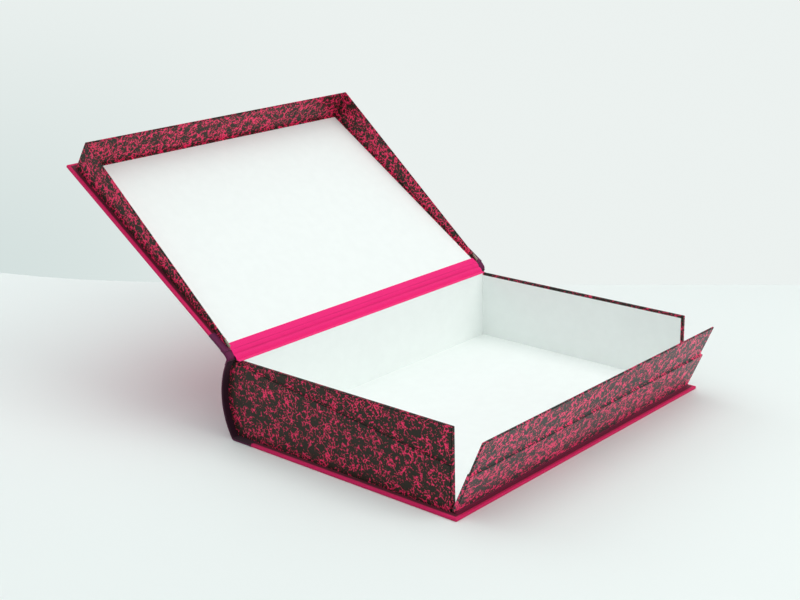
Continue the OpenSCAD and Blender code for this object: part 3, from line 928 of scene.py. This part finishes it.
class BOOKBOX_OT_flap_hinge(bpy.types.Operator):
    """Make the cloth hinge between the flap's foot and the ledge"""
    bl_idname = "bookbox.flap_hinge"
    bl_label = "Flap Hinge"

    def execute(self, context):
        s = context.scene.bookbox_covers
        face = FORE_X + 0.16
        up = FLAP.open([[face, 0, FLAP_FOOT + rise] for rise in (2.0, 1.0, 0.25)])[:, [0, 2]]
        path = smooth_path([*up, [FORE_X + 0.45, LEDGE_TOP + 0.16],
                            [FORE_X + 1.2, LEDGE_TOP + 0.1], [FORE_X + 2.5, LEDGE_TOP + 0.08]], 26)
        # Painted shade: the whole hinge cloth is darkened, as it lies in shade under the leaning flap.
        piece = carried(path, 0.13, "flap_hinge_pink_cloth", finish_for(s, "pink_cloth"),
                        LOWER_Y - 0.3, 0.2, shade_depth=lambda path, y: np.ones((len(y), len(path))))
        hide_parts("flap_hinge_cloth")
        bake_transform(piece)
        return {"FINISHED"}


class BOOKBOX_OT_wall_paper(bpy.types.Operator):
    """Wrap the two side walls in veined paper, over the shoulder, the top and the fore end"""
    bl_idname = "bookbox.wall_paper"
    bl_label = "Wall Paper"

    def wall(self, s, side):
        """The papered wall: its outline carried from foot to top.

        Up to the shoulder it has the lower thickness, and a cove leads to the upper one."""
        r, recess = s.paper_round, 0.08
        ins, below, flag = edge_round(r)
        cove_in, cove_up = cove(0.4)
        n, c = len(ins), len(cove_in)
        out_y = np.concatenate([[LOWER_Y], LOWER_Y - ins, UPPER_Y + cove_in, np.full(n, UPPER_Y)])
        shrink = np.concatenate([np.zeros(1 + n + c), ins])
        radii = np.array([SHARP, r, r, SHARP])
        loops, arc = rounded(inset(boxes(BACK_X, WALL_END_X, LINING_Y + recess, out_y), shrink),
                             np.maximum(radii - shrink[:, None], SHARP))
        foot, over_shoulder, up_cove, over_top = np.split(
            shoulder_z(loops[..., 0]), [1, 1 + n, 1 + n + c])
        z = np.concatenate([
            np.full_like(foot, WALL_FOOT), over_shoulder - below[:, None],
            up_cove + cove_up[:, None], WALL_TOP - below[:, None] + 0 * over_top])
        edge = np.concatenate([[0.0], flag, np.zeros(c), flag])
        # The top face gets the edge flag too, so the paper there is painted dark like the edges.
        edge[-1] = 1.0
        rows = levels(loops, z)
        rows[..., 1] *= side
        return rows, np.maximum(edge[:, None], arc)

    def tail(self, s, side):
        """The wall's end behind the back wall, where only the outside is papered.

        Its rows go from foot to top, and each follows the spine's arc at its height, which
        is found by a few rounds because the shoulder's height depends on x."""
        ins, below, flag = edge_round(s.paper_round)
        out_y = np.concatenate([[LOWER_Y], LOWER_Y - ins, [UPPER_Y, UPPER_Y]])
        share = np.linspace(0, 1, 9)
        x_line = np.concatenate([share, share[::-1]])

        def across(z, reach=0.2):
            """x from just inside the spine's board to just inside the lining, at each height."""
            end = spine_x(SPINE_IN_R, z) - reach
            return end + (BACK_X + 0.3 - end) * x_line

        drop = np.concatenate([[0.0], below, [0.0, 0.0]])[:, None]
        x = across(SPINE_CZ, 0.0)
        for _ in range(4):
            z = np.minimum(shoulder_z(x) - drop, WALL_TOP)
            z[0], z[-1] = WALL_FOOT, WALL_TOP
            x = across(z)
        y = np.where(np.arange(len(x_line)) < len(share), WALL_OUT_Y - 0.04, out_y[:, None])
        rows = np.stack([x, y, z], -1)
        middle = np.linspace(0, 1, 10)[1:-1, None, None]
        body = rows[0] * (1 - middle) + rows[1] * middle
        body[..., 0] = across(body[..., 2])
        rows = np.concatenate([rows[:1], body, rows[1:]])
        edge = np.concatenate([np.zeros(1 + len(body)), flag, [0.0, 0.0]])
        rows[..., 1] *= side
        return rows, np.repeat(edge[:, None], len(x_line), 1)

    def execute(self, context):
        s = context.scene.bookbox_covers
        for side, word in ((NEAR, "near"), (FAR, "far")):
            paper = finish_for(s, "veined")
            rows, edge = self.wall(s, side)
            wall = band(word + "_wall_veined_paper", rows, edge, [paper])
            rows, edge = self.tail(s, side)
            tail = band(word + "_wall_tail_paper", rows, edge, [paper, finish_for(s, "board")],
                        which=lambda m: m[:, 2] > WALL_TOP - 0.02)
            for piece in (wall, tail):
                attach(piece, "tray")
                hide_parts(word + "_wall_paper")
        return {"FINISHED"}


class BOOKBOX_OT_flap_paper(bpy.types.Operator):
    """Wrap the flap in veined paper, over its step, its top and its ends"""
    bl_idname = "bookbox.flap_paper"
    bl_label = "Flap Paper"

    def execute(self, context):
        s = context.scene.bookbox_covers
        r = s.paper_round
        ins, below, flag = edge_round(r)
        cove_in, cove_up = cove(0.35)
        n, c = len(ins), len(cove_in)
        face = FLAP_IN_X + 0.08
        x0 = np.concatenate([face + ins[::-1], np.full(n + c, face), face + ins])
        x1 = np.concatenate([FORE_X - mirrored(ins), FLAP_UPPER_X + cove_in, FLAP_UPPER_X - ins])
        y = np.concatenate([LOWER_Y - mirrored(ins), UPPER_Y + cove_in, UPPER_Y - ins])
        z = np.concatenate([FLAP_FOOT + below[::-1], STEP_Z - below, STEP_Z + cove_up, WALL_TOP - below])
        edge = np.concatenate([mirrored(flag), np.zeros(c), flag])
        # The top face gets the edge flag too, so the paper there is painted dark like the edges.
        edge[-1] = 1.0
        shrink = np.concatenate([mirrored(ins), np.zeros(c), ins])
        loops, arc = rounded(boxes(x0, x1, -y, y), np.maximum(r - shrink[:, None], SHARP))
        piece = band("flap_veined_paper", levels(loops, z), np.maximum(edge[:, None], arc),
                     [finish_for(s, "flap_veined")], FLAP.open)
        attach(piece, "flap")
        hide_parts("flap_paper")
        return {"FINISHED"}


class BOOKBOX_OT_rim_paper(bpy.types.Operator):
    """Wrap the lid's three rims in veined paper, with bare board at their spine ends"""
    bl_idname = "bookbox.rim_paper"
    bl_label = "Rim Paper"

    def bare_end(self, s, side, word):
        """Where the paper stops short of a side rim's spine end, the board's edge is bare."""
        proud, reach = 0.07, 12.0
        x0, x1 = RIM_X - proud, RIM_X + reach
        z0, z1 = self.free_z(x0), self.free_z(x1)
        outline = [[x0, z0 - proud], [x1, z1 - proud], [x1 - 2.5, z1 + 0.5],
                   [x0 + 5.0, z0 + 0.8], [x0, z0 + 1.5]]
        y0, y1 = sorted((side * (RIM_IN_Y - proud), side * (LOWER_Y + proud)))
        return sheet(word + "_rim_bare_end", outline, y0, y1, LEVELS_IN_Y,
                     finish_for(s, "board"), LID.open)

    def free_z(self, x):
        """Height of the side rims' free edge: the shoulder's, plus the lid's play."""
        return shoulder_z(x) + LID_PLAY

    def execute(self, context):
        s = context.scene.bookbox_covers
        r = s.paper_round
        ins, below, flag = edge_round(r)
        shrink = np.concatenate([[0.0], ins])
        far = [[FORE_X, LOWER_Y], [RIM_X, LOWER_Y], [RIM_X, RIM_IN_Y], [RIM_IN_X, RIM_IN_Y]]
        corners = np.array([[RIM_X, -LOWER_Y], [FORE_X, -LOWER_Y], *far,
                            [RIM_IN_X, -RIM_IN_Y], [RIM_X, -RIM_IN_Y]])
        radii = np.array([0.1, r, r, 0.1, 0.1, 0.25, 0.25, 0.1])
        loops, arc = rounded(inset(corners, shrink),
                             np.maximum(radii - shrink[:, None] * (radii > 0.3), 0.05))
        free = np.where(loops[..., 0] > RIM_IN_X + 0.05, RIM_Z,
                        self.free_z(np.minimum(loops[..., 0], RIM_IN_X)))
        z = free + np.concatenate([[0.0], below])[:, None]
        z[0] = LID_BOARD_Z + 0.06
        edge = np.maximum(np.concatenate([[0.0], flag])[:, None], arc)
        piece = band("lid_rims_veined_paper", levels(loops, z), edge,
                     [finish_for(s, "rim_veined"), finish_for(s, "board")],
                     LID.open, lambda m: m[:, 0] < RIM_X + 0.06)
        for side, word in ((NEAR, "near"), (FAR, "far")):
            bare = self.bare_end(s, side, word)
            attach(bare, "lid")
        tuck = 0.3
        margin = sheet("lid_margin_veined_paper",
                       [[STRIP_END_X, -RIM_IN_Y - tuck], [RIM_IN_X + tuck, -RIM_IN_Y - tuck],
                        [RIM_IN_X + tuck, RIM_IN_Y + tuck], [STRIP_END_X, RIM_IN_Y + tuck],
                        [STRIP_END_X, LID_LINING_Y], [LID_LINING_X, LID_LINING_Y],
                        [LID_LINING_X, -LID_LINING_Y], [STRIP_END_X, -LID_LINING_Y]],
                       LID_IN + 0.05, LID_BOARD_Z, LEVELS_IN_Z, finish_for(s, "rim_veined"), LID.open)
        for made in (piece, margin):
            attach(made, "lid")
            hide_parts("near_rim_paper", "far_rim_paper", "fore_rim_paper")
        return {"FINISHED"}


class BOOKBOX_OT_linings(bpy.types.Operator):
    """Paste the white linings on the floor, the walls, the flap and the lid"""
    bl_idname = "bookbox.linings"
    bl_label = "Linings"

    def execute(self, context):
        s = context.scene.bookbox_covers
        white = finish_for(s, "white")
        end, under = WALL_END_X, 0.2
        side_y, back_x, foot_z = LINING_Y + under, BACK_X - under, FLOOR_Z - under
        low_y, up_y, foot = LOWER_Y - MARGIN, UPPER_Y - MARGIN, FLAP_FOOT + MARGIN
        step, top = STEP_Z - MARGIN, WALL_TOP - MARGIN
        flap_outline = [[low_y, foot], [low_y, step], [up_y, step], [up_y, top],
                        [-up_y, top], [-up_y, step], [-low_y, step], [-low_y, foot]]
        floor = sheet("floor_white_paper", boxes(back_x, end, -side_y, side_y),
                      WALL_FOOT + 0.1, FLOOR_Z, LEVELS_IN_Z, white)
        back = sheet("back_wall_white_paper", boxes(-side_y, side_y, foot_z, WALL_TOP - under),
                     BACK_X - PAPER, BACK_X, LEVELS_IN_X, white)
        made = [(floor, "floor_lining", "tray"), (back, "back_wall_lining", "tray")]
        for side, word in ((NEAR, "near"), (FAR, "far")):
            y0, y1 = sorted((side * LINING_Y, side * WALL_IN_Y))
            wall = sheet(word + "_wall_white_paper", boxes(back_x, end - MARGIN, foot_z, top),
                         y0, y1, LEVELS_IN_Y, white)
            made.append((wall, word + "_wall_lining", "tray"))
        flap = sheet("flap_white_paper", flap_outline, FLAP_IN_X, FLAP_IN_X + PAPER,
                     LEVELS_IN_X, white, FLAP.open)
        lid = sheet("lid_white_paper",
                    boxes(STRIP_END_X, LID_LINING_X, -LID_LINING_Y, LID_LINING_Y),
                    LID_IN, LID_BOARD_Z, LEVELS_IN_Z, white, LID.open)
        made += [(flap, "flap_lining", "flap"), (lid, "lid_lining", "lid")]
        for piece, node, body in made:
            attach(piece, body)
            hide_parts(node)
        return {"FINISHED"}


class BOOKBOX_OT_boards(bpy.types.Operator):
    """Give the bare boards their pulp finish"""
    bl_idname = "bookbox.boards"
    bl_label = "Boards"

    def execute(self, context):
        board = finish_for(context.scene.bookbox_covers, "board")
        for name in NODE_NAMES_OF_BOARDS:
            mesh = frame["nodes"][name].data
            mesh.materials.clear()
            mesh.materials.append(board)
        return {"FINISHED"}


class BOOKBOX_OT_stage(bpy.types.Operator):
    """Set up the pale floor, the soft light and the camera"""
    bl_idname = "bookbox.stage"
    bl_label = "Stage"

    def camera(self, s):
        """The lens is the focal length in pixels over the picture's width, times the sensor's."""
        azimuth, tilt, roll = s.camera_turn
        look = Vector((math.sin(azimuth) * math.cos(tilt), math.cos(azimuth) * math.cos(tilt),
                       -math.sin(tilt)))
        right = look.cross(Vector((0, 0, 1))).normalized()
        up = right.cross(look)
        turned_right = right * math.cos(roll) + up * math.sin(roll)
        turned_up = up * math.cos(roll) - right * math.sin(roll)
        data = bpy.data.cameras.new("camera")
        data.sensor_width = 36.0
        data.lens = s.focal_px * data.sensor_width / PICTURE_WIDTH_PX
        data.clip_start, data.clip_end = 0.05, 50.0
        camera = bpy.data.objects.new("camera", data)
        axes = Matrix((turned_right, turned_up, -look)).transposed().to_4x4()
        camera.matrix_world = Matrix.Translation(s.camera_at) @ axes
        bpy.context.scene.collection.objects.link(camera)
        bpy.context.scene.camera = camera

    def floor(self, s):
        """A floor that ends behind the box in the soft bend of a paper backdrop."""
        bend = [(-0.806, -0.026), (-0.714, -0.003), (-0.661, 0.017), (-0.613, 0.039), (-0.549, 0.076),
                (-0.452, 0.143), (-0.303, 0.251), (-0.124, 0.385), (0.051, 0.518), (3.0, 2.75)]
        front = [(3.0, -4.0), (-3.0, -4.0), (-3.0, -0.56)]
        corners = [(x, y, 0.0) for x, y in bend + front]
        mesh = bpy.data.meshes.new("floor")
        mesh.from_pydata(corners, [], [tuple(range(len(corners)))[::-1]])
        f = Finish("pale_floor")
        base = linear(s.floor_colour)
        grain = f.grain(f.place(), 0.8)
        f.set(Base_Color=f.mix(grain * 0.15, base, shade(base, 0.97)), Roughness=0.6,
              Specular_IOR_Level=0.2)
        mesh.materials.append(f.material)
        floor = bpy.data.objects.new("floor", mesh)
        bpy.context.scene.collection.objects.link(floor)

    def world(self, s):
        """Even light from all round; what the camera, gloss or glass sees is the backdrop's colour.

        The backdrop runs smoothly from its shade to its light colour, both upwards and as the
        direction turns away from the spine's side."""
        world = bpy.data.worlds.new("soft_sky")
        bpy.context.scene.world = world
        sky = Nodes(world)
        way = sky.node("ShaderNodeTexCoord").outputs["Generated"]
        aside = sky.vectors("DOT_PRODUCT", way, (0.746, 0.666, 0.0), "Value").step(-0.30, 0.02)
        raised = sky.vectors("DOT_PRODUCT", way, (0.0, 0.0, 1.0), "Value").step(-0.30, -0.02)
        lit = linear(s.backdrop_colour)
        backdrop = sky.mix(aside, sky.mix(raised, linear(s.backdrop_shade), lit), lit)
        rays = sky.node("ShaderNodeLightPath").outputs
        seeing = Wire(sky, rays["Is Camera Ray"])
        for kind in ("Is Glossy Ray", "Is Transmission Ray"):
            seeing = seeing.highest(rays[kind])
        light = sky.wire("ShaderNodeBackground", None, {0: (0.93, 0.97, 1.0, 1.0), 1: s.sky_level})
        seen = sky.wire("ShaderNodeBackground", None, {0: backdrop, 1: 1.0})
        both = sky.wire("ShaderNodeMixShader", None, {0: seeing, 1: light, 2: seen})
        sky.node("ShaderNodeOutputWorld", None, {0: both})

    def lamp(self, name, at, size, power, colour):
        """A square soft lamp that looks at the middle of the box."""
        data = bpy.data.lights.new(name, "AREA")
        data.shape, data.size, data.energy, data.color = "SQUARE", size, power, colour
        lamp = bpy.data.objects.new(name, data)
        way = Vector((0, 0, 0.03)) - Vector(at)
        lamp.matrix_world = Matrix.Translation(at) @ way.to_track_quat("-Z", "Y").to_matrix().to_4x4()
        bpy.context.scene.collection.objects.link(lamp)

    def execute(self, context):
        s = context.scene.bookbox_stage
        self.camera(s)
        self.floor(s)
        self.world(s)
        self.lamp("key", (1.5, 0.35, 1.25), 1.4, s.key_power, (1.0, 0.99, 0.97))
        self.lamp("top", (0.0, 0.0, 1.8), 2.0, s.top_power, (1.0, 1.0, 0.98))
        self.lamp("spine_side", (-1.6, 0.0, 1.2), 1.4, s.spine_power, (0.97, 0.99, 1.0))
        context.scene.view_settings.view_transform = "Standard"
        return {"FINISHED"}


class BOOKBOX_PT_panel(bpy.types.Panel):
    """Lists the box's pieces and their settings"""
    bl_idname = "BOOKBOX_PT_panel"
    bl_label = "Clamshell Book Box"
    bl_space_type = "VIEW_3D"
    bl_region_type = "UI"
    bl_category = "Book Box"

    def draw(self, context):
        covers, stage = context.scene.bookbox_covers, context.scene.bookbox_stage
        for settings in (covers, stage):
            for key in settings.bl_rna.properties.keys():
                if key not in ("rna_type", "name"):
                    self.layout.prop(settings, key)
        for operator in OPERATORS:
            self.layout.operator(operator.bl_idname)


OPERATORS = (
    BOOKBOX_OT_base_cloth, BOOKBOX_OT_spine_cloth, BOOKBOX_OT_lid_cloth, BOOKBOX_OT_joint_cloths,
    BOOKBOX_OT_flap_hinge, BOOKBOX_OT_wall_paper, BOOKBOX_OT_flap_paper, BOOKBOX_OT_rim_paper,
    BOOKBOX_OT_linings, BOOKBOX_OT_boards, BOOKBOX_OT_stage,
)
CLASSES = (CoverSettings, StageSettings, *OPERATORS, BOOKBOX_PT_panel)


def register():
    for cls in CLASSES:
        bpy.utils.register_class(cls)
    bpy.types.Scene.bookbox_covers = bpy.props.PointerProperty(type=CoverSettings)
    bpy.types.Scene.bookbox_stage = bpy.props.PointerProperty(type=StageSettings)


def unregister():
    del bpy.types.Scene.bookbox_stage
    del bpy.types.Scene.bookbox_covers
    for cls in reversed(CLASSES):
        bpy.utils.unregister_class(cls)


def main():
    register()
    for operator in OPERATORS:
        group, name = operator.bl_idname.split(".")
        getattr(getattr(bpy.ops, group), name)()
    bpy.context.view_layer.update()


if __name__ == "__main__":
    main()
